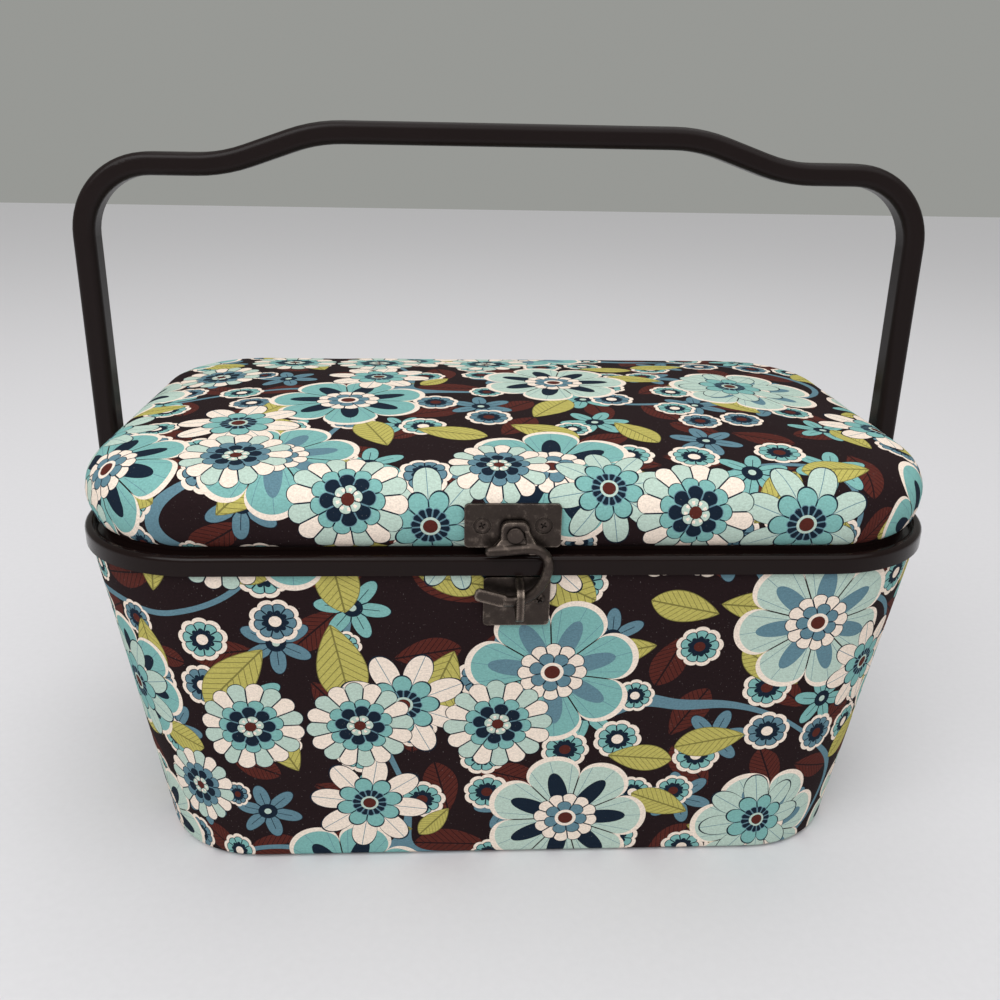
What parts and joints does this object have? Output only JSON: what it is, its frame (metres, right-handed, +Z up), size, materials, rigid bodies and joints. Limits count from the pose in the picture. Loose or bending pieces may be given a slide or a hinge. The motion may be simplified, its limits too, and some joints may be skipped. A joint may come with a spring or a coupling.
{
  "type": "sewing box",
  "caption": "Tapered fabric-covered sewing box with moulded rim, padded hinged lid, hook latch, swinging bail handle and lift-out tray.",
  "frame": {"origin": "middle of the underside, on the surface that it stands on", "axes": "+X to the right along the length, +Y to the hinged back, +Z up; the latch faces -Y"},
  "size_m": [0.3238, 0.203, 0.2623],
  "materials": {
    "printed_cotton": "printed cotton, matte",
    "wall_board": "pressed board",
    "liner_card": "card",
    "underside_fabric": "black felted cloth",
    "rim_plastic": "glossy dark brown",
    "handle_plastic": "satin dark brown",
    "tray_plastic": "satin cream",
    "satin": "cream satin",
    "cushion_cotton": "teal cotton",
    "elastic": "woven elastic",
    "foam": "foam sheet",
    "bronze": "antique bronze",
    "bronze_screw": "antique bronze",
    "pin_steel": "dark brown",
    "clip_steel": "bright"
  },
  "bodies": {
    "base": {"underside_panel": "underside_fabric", "body_cover": "printed_cotton", "wall_board": "wall_board", "bottom_board": "wall_board", "rim": "rim_plastic", "liner_board": "liner_card", "well_lining": "satin", "upper_lining": "satin", "floor_pad": "satin", "keeper_plate": "bronze", "keeper_loop": "bronze", "keeper_screws": "bronze_screw", "hinge_body_leaf_left": "bronze", "hinge_body_leaf_right": "bronze", "hinge_pin_left": "bronze", "hinge_pin_right": "bronze", "hinge_body_screws": "bronze_screw"},
    "lid": {"lid_cover": "printed_cotton", "lid_foam": "foam", "lid_pan": "wall_board", "lid_lining": "satin", "lid_ring": "rim_plastic", "pin_cushion": "cushion_cotton", "lid_pocket": "satin", "pocket_elastic": "elastic", "latch_plate": "bronze", "latch_pivot": "bronze", "latch_screws": "bronze_screw", "hinge_lid_leaf_left": "bronze", "hinge_lid_leaf_right": "bronze", "hinge_lid_screws": "bronze_screw"},
    "hook": {"latch_hook": "bronze"},
    "tray": {"tray": "tray_plastic"},
    "handle_pins": {"handle_pin_left": "pin_steel", "handle_pin_right": "pin_steel", "handle_pin_clips": "clip_steel"},
    "handle": {"handle": "handle_plastic"}
  },
  "joints": [
    {"name": "lid_hinge", "type": "hinge", "parent": "base", "child": "lid", "pos_m": [0, 0.0976, 0.133], "axis": [-1, 0, 0], "range_deg": [0, 100]},
    {"name": "hook_swing", "type": "hinge", "parent": "lid", "child": "hook", "pos_m": [-0.0012, -0.0928, 0.1393], "axis": [0, -1, 0], "range_deg": [0, 95]},
    {"name": "tray_lift", "type": "slide", "parent": "base", "child": "tray", "axis": [0, 0, 1], "range_m": [0, 0.016]},
    {"name": "handle_yield", "type": "hinge", "parent": "base", "child": "handle_pins", "pos_m": [0, 0, 0.114], "axis": [-1, 0, 0], "range_deg": [0, 110]},
    {"name": "handle_swing", "type": "hinge", "parent": "handle_pins", "child": "handle", "pos_m": [0, 0, 0.114], "axis": [1, 0, 0], "range_deg": [-25, 135]}
  ],
  "couplings": [
    {"joint": "handle_yield", "follows": "lid_hinge", "ratio": 1.1}
  ]
}
